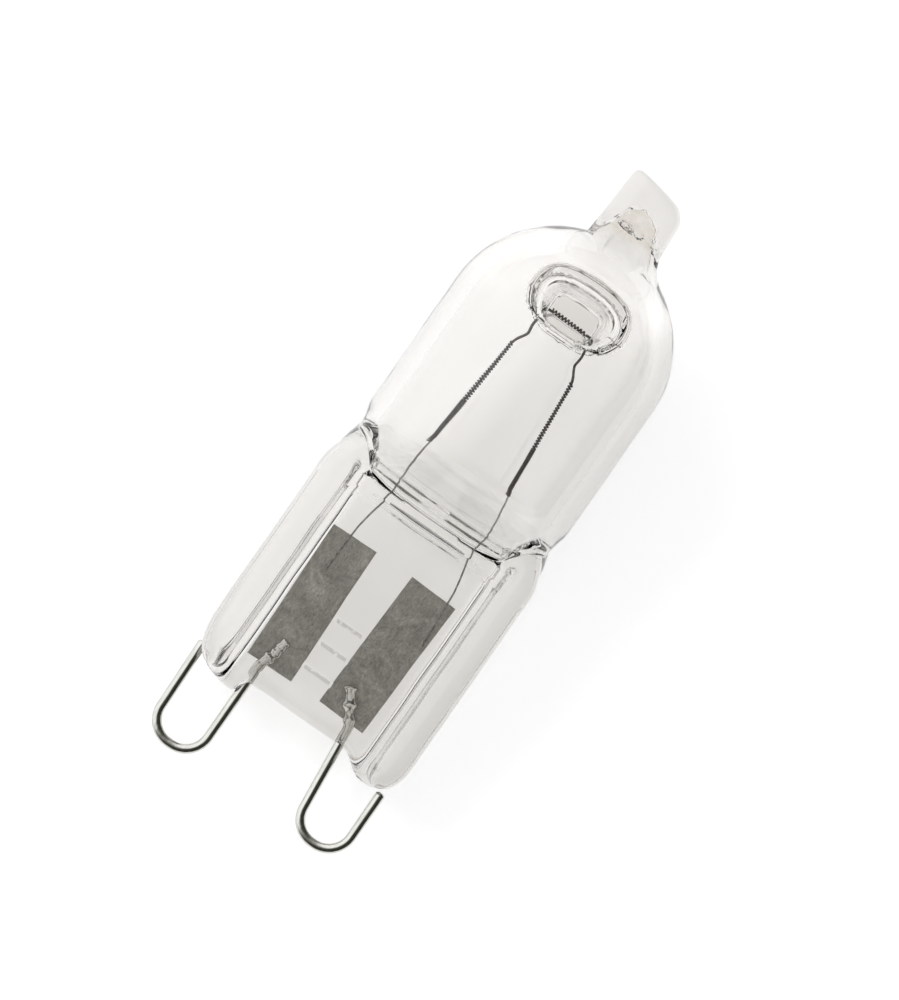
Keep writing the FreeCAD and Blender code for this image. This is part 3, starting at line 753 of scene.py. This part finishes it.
def seal(x, y, z):
    """The pressed seal: two ribs with a web between them."""
    across = np.abs(x)
    depth = np.abs(y)
    side = across - SEAL_HALF_WIDTH + SEAL_UNEVENNESS - OUTLINE_ROUNDING * (1 - math.sqrt(0.5))
    block = rounded_max(side, depth - SEAL_HALF_DEPTH + SEAL_UNEVENNESS, RIB_EDGE_RADIUS)
    slope = (across - WEB_HALF_WIDTH) * math.cos(RECESS_DRAFT)
    slope -= (depth - WEB_HALF_DEPTH) * math.sin(RECESS_DRAFT)
    recess = rounded_max(WEB_HALF_DEPTH - depth, slope, RECESS_ROUNDING)
    section = rounded_max(block, -recess, RECESS_ROUNDING)
    foot_radius = np.where(x < 0, *FOOT_RADII)
    drop = (WEB_FOOT - RIB_FOOT) * ease(across, WEB_FOOT_HALF_WIDTH, SEAL_HALF_WIDTH - foot_radius)
    foot = WEB_FOOT - drop - z
    outline = rounded_max(side, foot, foot_radius)
    outline = rounded_max(outline, z - SEAL_TOP, SHOULDER_RADIUS)
    return rounded_max(section, outline, OUTLINE_ROUNDING)


def raised_bars(x, y, z):
    """How far the plain bars between the foils stand out of the web's front."""
    total = 0
    for height in BAR_HEIGHTS:
        from_middle = np.abs(x - BAR_MIDDLE)
        across = 1 - ease(from_middle, BAR_HALF_LENGTH - BAR_END_FADE, BAR_HALF_LENGTH + BAR_END_FADE)
        total = total + np.exp(-(((z - height) / BAR_HALF_WIDTH) ** 2)) * across
    return total * BAR_STANDOUT * (y < 0)


def rounded_box(x, z, half_width, half_height, corner):
    """Distance from a rounded rectangle in the X-Z plane."""
    across = np.abs(x) - half_width + corner
    up = np.abs(z) - half_height + corner
    outside = np.hypot(np.maximum(across, 0), np.maximum(up, 0))
    return outside + np.minimum(np.maximum(across, up), 0) - corner


def exhaust_tip(x, y, z):
    """The sheared stub where the exhaust tube was melted shut."""
    share = np.clip((z - TIP_ROOT) / (TIP_TOP - TIP_ROOT), -0.5, 1.2)
    halves = [blend(low, high, share) for low, high in zip(TIP_ROOT_HALVES, TIP_TOP_HALVES)]
    across = np.abs(x) - halves[0]
    deep = np.abs(y) - halves[1]
    sides = rounded_max(across, deep, TIP_CORNER)
    shear = z - TIP_TOP + TIP_SLANT * (x + TIP_TOP_HALVES[0]) / (2 * TIP_TOP_HALVES[0])
    shear = shear + TIP_BOW * (x / TIP_TOP_HALVES[0]) ** 2
    stub = rounded_max(sides, shear, blend(*TIP_EDGES, ease(x, *TIP_EDGE_SPAN)))
    return np.maximum(stub, TIP_ROOT - 2 - z)


def melted_bore(x, y, z):
    """What is left of the exhaust tube's bore: smooth below and crumpled where it was melted shut."""
    bore = rounded_max(level_ellipse(x, y, *BORE_HALVES), z - BORE_END, BORE_ROUNDING)
    end = (z > BORE_CRUMPLE) & (np.abs(x) < TIP_ROOT_HALVES[0])
    spot = (x[end], y[end], z[end])
    crumple = sum(waves(*spot, length, seed) * depth for length, depth, seed in CRUMPLES)
    bore[end] += crumple * ease(z[end], BORE_CRUMPLE, BORE_CRUMPLE + CRUMPLE_RISE)
    return np.maximum(bore, DOME_START - z)


def bubble(x, y, z):
    """A gas bubble that was caught in the tip."""
    spot = [(axis - middle) / half for axis, middle, half in zip((x, y, z), BUBBLE_MIDDLE, BUBBLE_HALVES)]
    return (np.sqrt(spot[0] ** 2 + spot[1] ** 2 + spot[2] ** 2) - 1) * min(BUBBLE_HALVES)


def dimple_depth(x, up, floor, lip, top):
    """How far in front of the seal's plane a dimple's skin lies, from its floor to its mouth.

    The floor is a rounded box and the mouth an ellipse that touches its lower edge. Both reach lip
    further than the dimple's own outline, but hardly at all below.
    """
    low_lip = np.where(up < 0, lip * DIMPLE_LOW_LIP_SHARE, lip)
    box = (x / (DIMPLE_HALVES[0] + lip)) ** 4 + (up / (DIMPLE_HALVES[1] + low_lip)) ** 4
    mouth = np.hypot(x / (MOUTH_HALVES[0] + lip), (up - MOUTH_RISE) / (MOUTH_HALVES[1] + low_lip))
    from_floor = np.maximum(box**0.25 - 1, 0)
    share = from_floor / np.maximum(from_floor + np.maximum(1 - mouth, 0), 1e-6)
    wobble = waves(x, 0, up, DIMPLE_WOBBLE_LENGTH, DIMPLE_WOBBLE_SEED) * DIMPLE_WOBBLE
    wobble = wobble * 4 * share * (1 - share)
    return blend(floor, top, ease(share, 0, 1)) + wobble


def dimple(x, y, z, floor, lip, top):
    """Where quartz is left between the two dimples, which sink from top to floor."""
    field = np.abs(y) - top
    near = np.abs(x) < MOUTH_HALVES[0] + lip
    near &= np.abs(z - DIMPLE_HEIGHT - MOUTH_RISE) < MOUTH_HALVES[1] + lip
    x = x[near]
    up = z[near] - DIMPLE_HEIGHT
    shape = (floor, lip, top)
    step = DIMPLE_SLOPE_STEP
    lean_across = dimple_depth(x + step, up, *shape) - dimple_depth(x - step, up, *shape)
    lean_up = dimple_depth(x, up + step, *shape) - dimple_depth(x, up - step, *shape)
    steepness = np.sqrt(1 + (lean_across**2 + lean_up**2) / (4 * step**2))
    field[near] = (np.abs(y[near]) - dimple_depth(x, up, *shape)) / steepness
    return field


def outer_shape(x, y, z, rim):
    """The quartz without its cavity. rim is how much the edges of the dimples are rounded."""
    outside = rounded_min(bulb_and_neck(x, y, z), seal(x, y, z), NECK_ROUNDING)
    joint = TIP_ROUNDING - TIP_SHARPENING * ease(-x, *TIP_LEFT_SPAN)
    joint = joint + TIP_FILLING * (1 - ease(np.abs(x), *TIP_MIDDLE_SPAN))
    outside = rounded_min(outside, exhaust_tip(x, y, z), joint)
    sunk = dimple(x, y, z, DIMPLE_HALF_GAP + DIMPLE_WALL, 0, BULB_RADIUS + MOUTH_SPARE)
    outside = rounded_max(outside, sunk, rim)
    low = z < BULB_START
    pressed = 1 - ease(z[low], NECK_WAIST, BULB_START)
    uneven = waves(x[low], y[low], z[low], UNEVENNESS_LENGTH, UNEVENNESS_SEED)
    outside[low] += uneven * SEAL_UNEVENNESS * pressed
    return outside - raised_bars(x, y, z)


def cavity(x, y, z, rim):
    """The hollow for the gas, with the bore above it and the dimples' quartz taken out of it."""
    level = level_ellipse(x, y, throat_width(z), throat_depth(z))
    chamber = np.where(z > BULB_START, round_body(x, y, z, CAVITY_RADIUS), level)
    floor = SLOT_HEIGHT + SLOT_BOW * (x / SLOT_HALF_WIDTH) ** 2 - z
    chamber = rounded_max(chamber, floor, FOLD_RADIUS)
    chamber = rounded_min(chamber, melted_bore(x, y, z), BORE_FLARE)
    gap = dimple(x, y, z, DIMPLE_HALF_GAP, DIMPLE_LIP, CAVITY_RADIUS + MOUTH_SPARE)
    chamber = rounded_max(chamber, gap, rim)
    bridge = rounded_box(x, z - BRIDGE_HEIGHT, *BRIDGE_HALVES, BRIDGE_HALVES[1] * BRIDGE_ROUNDNESS)
    bridge = np.maximum(bridge, np.abs(y) - DIMPLE_HALF_GAP - DIMPLE_WALL / 2)
    return rounded_max(chamber, -bridge, FOLD_RADIUS)


def quartz_and_hollow(x, y, z):
    """The quartz without its hollows, and its hollows."""
    rim = blend(*DIMPLE_RIMS, ease(z, *DIMPLE_RIM_SPAN))
    return outer_shape(x, y, z, rim), np.minimum(cavity(x, y, z, rim), bubble(x, y, z))


def quartz(x, y, z):
    """The envelope as one solid."""
    outside, hollow = quartz_and_hollow(x, y, z)
    return np.maximum(outside, -hollow)


def slope_of(field, points):
    """The field's gradient at each point."""
    slopes = []
    for axis in range(3):
        shift = np.zeros(3)
        shift[axis] = SLOPE_STEP
        slopes.append(field(*(points + shift).T) - field(*(points - shift).T))
    return np.stack(slopes, axis=1) / (2 * SLOPE_STEP)


CELL_CORNERS = [(i, j, k) for i in (0, 1) for j in (0, 1) for k in (0, 1)]


def crossing_middles(values, cells):
    """For each cell, the middle of the places where the field is zero on the cell's edges."""
    total = np.zeros((len(cells), 3))
    crossings = np.zeros(len(cells))
    for first in CELL_CORNERS:
        for axis in range(3):
            if first[axis] == 1:
                continue
            second = list(first)
            second[axis] = 1
            start = values[tuple((cells + first).T)]
            end = values[tuple((cells + second).T)]
            crossed = (start < 0) != (end < 0)
            share = np.where(crossed, start / np.where(crossed, start - end, 1), 0)
            spot = np.tile(np.array(first, float), (len(cells), 1))
            spot[:, axis] += share
            total += spot * crossed[:, None]
            crossings += crossed
    return total / crossings[:, None]


def pulled_to_zero(field, points, reach):
    """The points moved onto the field's zero surface, by no more than the reach at a time."""
    for _ in range(PULLS):
        slope = slope_of(field, points)
        height = field(*points.T)
        move = -slope * (height / np.maximum((slope**2).sum(1), 1e-9))[:, None]
        length = np.linalg.norm(move, axis=1)[:, None]
        points = points + move * np.minimum(1, reach / np.maximum(length, 1e-12))
    return points


def quads_round_edges(inside, number):
    """A quad round each grid edge that crosses the surface, through its four cells' points."""
    faces = []
    for axis in range(3):
        others = [(axis + 1) % 3, (axis + 2) % 3]
        cut = [slice(1, -1)] * 3
        cut[axis] = slice(0, -1)
        ahead = [slice(1, -1)] * 3
        ahead[axis] = slice(1, None)
        edges = np.argwhere(inside[tuple(cut)] != inside[tuple(ahead)]) + 1
        edges[:, axis] -= 1
        leaves = inside[tuple(edges.T)]
        ring = []
        for back_first, back_second in ((1, 1), (0, 1), (0, 0), (1, 0)):
            cell = edges.copy()
            cell[:, others[0]] -= back_first
            cell[:, others[1]] -= back_second
            ring.append(number[tuple(cell.T)])
        quads = np.stack(ring, axis=1)
        quads[~leaves] = quads[~leaves][:, ::-1]
        faces.append(quads)
    return np.concatenate(faces)


def surface(field, low, high, step):
    """Points and quads of a field's zero surface, one point in each cell that it crosses."""
    lines = [np.arange(start, end + step, step) for start, end in zip(low, high)]
    values = field(*np.meshgrid(*lines, indexing="ij"))
    inside = values < 0
    shape = np.array(inside.shape) - 1
    filled = sum(
        inside[i:i + shape[0], j:j + shape[1], k:k + shape[2]].astype(np.int8)
        for i, j, k in CELL_CORNERS
    )
    cells = np.argwhere((filled > 0) & (filled < len(CELL_CORNERS)))
    number = np.full(shape, -1, dtype=np.int64)
    number[tuple(cells.T)] = np.arange(len(cells))
    points = (cells + crossing_middles(values, cells)) * step + np.array(low)
    return pulled_to_zero(field, points, step * 0.3), quads_round_edges(inside, number)


def make_envelope():
    """The quartz envelope as one fine mesh, outside and cavity together."""
    step = MESH_STEP
    margin = MESH_MARGIN
    low = (-SEAL_HALF_WIDTH - margin, -BULB_RADIUS - margin, RIB_FOOT - margin)
    high = (SEAL_HALF_WIDTH + margin, BULB_RADIUS + margin, TIP_TOP + margin)
    points, faces = surface(quartz, low, high, step)
    outer_skin = quartz_material("quartz")
    piece = add_piece("quartz_bulb", points, faces, outer_skin, "quartz", "quartz_envelope")
    piece.data.materials.append(clear_quartz("quartz_cavity"))
    normals = slope_of(quartz, points) @ LAMP_AXES
    normals /= np.linalg.norm(normals, axis=1)[:, None]
    piece.data.normals_split_custom_set_from_vertices(normals.tolist())
    outside, hollow = quartz_and_hollow(*points[faces].mean(axis=1).T)
    piece.data.polygons.foreach_set("material_index", (-hollow > outside).astype(np.int32))


def make_loops(material):
    """The two pin loops, each one bent wire whose inner end is squashed onto its foil."""
    for name, side, end_x, outer_x, free_end, inner_x, bend_x, bend_height in LOOPS:
        corners = [
            (end_x * side, free_end, None),
            (outer_x * side, LOOP_FOOT, LOOP_RADIUS),
            (inner_x * side, LOOP_FOOT, LOOP_RADIUS),
            (bend_x * side, bend_height, LOOP_BEND_RADIUS),
            (WELD_X[name] * side, WELD_HEIGHT, None),
        ]
        path = in_plane(rounded_path(corners, LOOP_STEP), WIRE_PLANE)
        radii = rounded_ends(path, PIN_RADIUS, CUT_LENGTH)
        squashed = ease(path[:, 2], bend_height + SQUASH_SPAN[0], bend_height + SQUASH_SPAN[1])
        kinks = waves(*path.T, KINK_LENGTH, KINK_SEED)
        path[:, 0] += squashed * kinks * KINK_SWAY
        lumps = waves(*path.T, SQUASH_LUMP_LENGTH, SQUASH_LUMP_SEED)
        radii = radii * (1 + squashed * (SQUASH_WIDENING + SQUASH_LUMPS * lumps))
        flatness = 1 - squashed * (SQUASH_FLATNESS + SQUASH_KINKS * kinks)
        points, faces = tube(path, radii, LOOP_SIDES, flatness)
        add_piece(f"pin_wire_{name}", points, faces, material, "pin_wire", f"contact_loop_{name}")


def helix(start, end, pitches, radius):
    """A coil's centre line between two points; pitches are (share of the length, pitch)."""
    start = np.array(start, float)
    end = np.array(end, float)
    length = np.linalg.norm(end - start)
    way = (end - start) / length
    side = np.cross(way, (0, 1, 0))
    side /= np.linalg.norm(side)
    other = np.cross(way, side)
    shares = [0.0]
    angles = [0.0]
    for until, pitch in pitches:
        while shares[-1] < until:
            shares.append(shares[-1] + pitch / TURN_POINTS / length)
            angles.append(angles[-1] + 2 * math.pi / TURN_POINTS)
    shares = np.array(shares)[:, None]
    angles = np.array(angles)[:, None]
    return start + way * length * shares + (side * np.cos(angles) + other * np.sin(angles)) * radius


def make_filament():
    """The filament: a fine coil on each leg and over the bridge, with drawn-out wire between."""
    material = wire_material("tungsten", (0.07, 0.066, 0.06), (0.16, 0.155, 0.145), 0.5)
    turn = COIL_OUTER - STRAND_RADIUS
    parts = []
    for side in (-1, 1):
        foot, top = [(x * side, LEAD_PLANE, z) for x, z in (COIL_FOOT, COIL_TOP)]
        coil = helix(foot, top, LEG_PITCHES, turn)
        parts.append(tube(coil, STRAND_RADIUS, STRAND_SIDES))
        corners = [(x * side, z, radius) for x, z, radius in HOOK_CORNERS]
        hook = in_plane(rounded_path(corners, HOOK_STEP), LEAD_PLANE)
        sway = np.sin(np.linspace(0, HOOK_SWAYS * math.pi, len(hook))) * HOOK_SWAY * side
        hook[:, 0] += sway
        parts.append(tube(hook, HOOK_RADIUS, HOOK_SIDES))
    left, right = [(x, LEAD_PLANE, z) for x, z in (FOLD_LEFT, FOLD_RIGHT)]
    parts.append(tube(helix(left, right, FOLD_PITCHES, turn), STRAND_RADIUS, STRAND_SIDES))
    points, faces = join_parts(parts)
    add_piece("coiled_filament", points, faces, material, "tungsten", "filament")


def foil_grid_faces():
    """Faces of a foil whose front points come first and whose back points follow in the same order."""
    columns, rows = FOIL_COLUMNS, FOIL_ROWS
    count = columns * rows
    faces = []
    for i in range(columns - 1):
        for j in range(rows - 1):
            here = i * rows + j
            quad = (here, here + rows, here + rows + 1, here + 1)
            faces.append(quad)
            faces.append(tuple(index + count for index in quad[::-1]))
    rim = [i * rows for i in range(columns)]
    rim += [(columns - 1) * rows + j for j in range(1, rows)]
    rim += [i * rows + rows - 1 for i in range(columns - 2, -1, -1)]
    rim += [j for j in range(rows - 2, 0, -1)]
    for first, second in zip(rim, rim[1:] + rim[:1]):
        faces.append((second, first, first + count, second + count))
    return faces


def make_foils():
    """The two foils: thin rolled strips with knife edges, creased round their welds."""
    material = foil_material()
    u = np.linspace(-1, 1, FOIL_COLUMNS)
    v = np.linspace(0, 1, FOIL_ROWS)
    across, up = np.meshgrid(u * FOIL_WIDTH / 2, v * FOIL_LENGTH, indexing="ij")
    from_edge = FOIL_WIDTH / 2 - np.abs(across)
    thick = np.minimum(FOIL_HALF_THICKNESS, FOIL_EDGE + from_edge * FOIL_EDGE_SLOPE)
    faces = foil_grid_faces()
    for name, side, foot_x, lean, seed in FOILS:
        angle = math.radians(lean) * side
        x = foot_x * side + across * math.cos(angle) + up * math.sin(angle)
        z = FOIL_FOOT - across * math.sin(angle) + up * math.cos(angle)
        from_weld = x - WELD_X[name] * side
        above_weld = z - WELD_HEIGHT
        in_creases = (from_weld / CREASED_HALVES[0]) ** 2
        in_creases = in_creases + ((above_weld + CREASED_DROP) / CREASED_HALVES[1]) ** 2
        near_weld = np.exp(-in_creases)
        y = waves(x, x * 0, z, FOIL_WAVES[0], seed) * FOIL_WAVES[1]
        y = y + waves(x, x * 0, z, FOIL_CREASES[0], seed + 1) * FOIL_CREASES[1] * near_weld
        ring = np.hypot(from_weld, above_weld - RING_RISE)
        y = y - np.exp(-(((ring - RING_RADIUS) / RING_HALF_WIDTH) ** 2)) * RING_DEPTH
        front = np.stack([x, y - thick, z], axis=-1).reshape(-1, 3)
        back = np.stack([x, y + thick, z], axis=-1).reshape(-1, 3)
        points = np.concatenate([front, back])
        add_piece(f"rolled_foil_{name}", points, faces, material, "foil", f"foil_{name}")


def make_leads():
    """The inner leads: thin wires with the kinks that they got as the seal was pressed."""
    material = wire_material("lead_wire", (0.2, 0.195, 0.185), (0.42, 0.41, 0.39), 0.4)
    for name, side, bends in LEADS:
        corners = [(x * side, z, LEAD_BEND_RADIUS) for x, z in bends]
        path = in_plane(rounded_path(corners, LEAD_STEP), LEAD_PLANE)
        points, faces = tube(path, rounded_ends(path, LEAD_RADIUS, LEAD_CUT_LENGTH), LEAD_SIDES)
        add_piece(f"lead_wire_{name}", points, faces, material, "lead_wire", f"inner_lead_{name}")


# Stage, light and camera


def make_floor():
    """A plain pale floor that keeps the lamp's shadow and reads as white."""
    size = FLOOR_HALF_SIZE
    mesh = bpy.data.meshes.new("floor")
    corners = [(-size, -size, 0), (size, -size, 0), (size, size, 0), (-size, size, 0)]
    mesh.from_pydata(corners, [], [(0, 1, 2, 3)])
    floor = bpy.data.objects.new("floor", mesh)
    bpy.context.scene.collection.objects.link(floor)
    material, tree, shader = new_material("floor", Base_Color=FLOOR_COLOUR, Roughness=1.0)
    shader.inputs["Specular IOR Level"].default_value = 0.0
    shader.inputs["Emission Color"].default_value = WHITE
    glow = add_math(tree, "MULTIPLY", seen_directly(tree), FLOOR_GLOW)
    tree.links.new(glow, shader.inputs["Emission Strength"])
    mesh.materials.append(material)


def seen_directly(tree):
    """1 for rays from the camera, from gloss and through glass, and 0 for the light that falls."""
    path = tree.nodes.new("ShaderNodeLightPath")
    value = path.outputs["Is Camera Ray"]
    for name in ("Is Glossy Ray", "Is Transmission Ray"):
        value = add_math(tree, "MAXIMUM", value, path.outputs[name])
    return value


def make_world():
    """A studio that is white behind the lamp, bright at the upper left and dim at the lower right."""
    world = bpy.data.worlds.new("studio")
    bpy.context.scene.world = world
    world.use_nodes = True
    tree = world.node_tree
    background = tree.nodes["Background"]
    toward_key = tree.nodes.new("ShaderNodeVectorMath")
    toward_key.operation = "DOT_PRODUCT"
    tree.links.new(tree.nodes.new("ShaderNodeTexCoord").outputs["Generated"], toward_key.inputs[0])
    toward_key.inputs[1].default_value = KEY_WAY
    share = tree.nodes.new("ShaderNodeMapRange")
    share.inputs["From Min"].default_value = -1
    tree.links.new(toward_key.outputs["Value"], share.inputs["Value"])
    mirrored = add_ramp(tree, share.outputs[0], MIRRORED)
    through = add_ramp(tree, share.outputs[0], THROUGH)
    path = tree.nodes.new("ShaderNodeLightPath")
    seen = mix_colours(tree, path.outputs["Is Glossy Ray"], WORLD_LIGHT, mirrored)
    seen = mix_colours(tree, path.outputs["Is Transmission Ray"], seen, through)
    seen = mix_colours(tree, path.outputs["Is Camera Ray"], seen, WHITE)
    tree.links.new(seen, background.inputs["Color"])


def mix_colours(tree, share, first, second):
    """A mix of two colours, each a fixed one or another node's."""
    mix = tree.nodes.new("ShaderNodeMix")
    mix.data_type = "RGBA"
    tree.links.new(share, mix.inputs["Factor"])
    for socket, colour in ((mix.inputs[6], first), (mix.inputs[7], second)):
        if isinstance(colour, tuple):
            socket.default_value = colour
        else:
            tree.links.new(colour, socket)
    return mix.outputs[2]


def add_area(name, place_at, aim, size, power):
    """A soft square lamp at a point of the frame, turned towards another."""
    data = bpy.data.lights.new(name, "AREA")
    data.size = size
    data.energy = power
    lamp = bpy.data.objects.new(name, data)
    lamp.location = place_at
    lamp.rotation_euler = (Vector(aim) - Vector(place_at)).to_track_quat("-Z", "Y").to_euler()
    lamp.visible_glossy = False
    lamp.visible_transmission = False
    bpy.context.scene.collection.objects.link(lamp)


def make_camera():
    """The photograph's view: square to the seal's front, with the lamp rising to the right."""
    right = direction(math.sin(VIEW_RISE), 0, math.cos(VIEW_RISE))
    up = direction(-math.cos(VIEW_RISE), 0, math.sin(VIEW_RISE))
    back = right.cross(up)
    target = Vector(place([[VIEW_CENTRE[0], 0, VIEW_CENTRE[1]]])[0])
    data = bpy.data.cameras.new("camera")
    data.sensor_width = SENSOR
    data.lens = PIXELS_PER_MM * SENSOR / PICTURE_HEIGHT * CAMERA_DISTANCE / MM
    data.clip_start = 0.01
    data.clip_end = 10
    camera = bpy.data.objects.new("camera", data)
    turned = Matrix((right, up, back)).transposed().to_4x4()
    camera.matrix_world = Matrix.Translation(target + back * CAMERA_DISTANCE) @ turned
    bpy.context.scene.collection.objects.link(camera)
    bpy.context.scene.camera = camera


make_envelope()
make_loops(steel_material())
make_filament()
make_foils()
make_leads()
make_floor()
make_world()
middle = (cad_box[0] + cad_box[1]) / 2
for name, away, size, power in AREA_LIGHTS:
    add_area(name, middle + Vector(away), middle, size, power)
make_camera()

scene = bpy.context.scene
scene.view_settings.view_transform = "Standard"
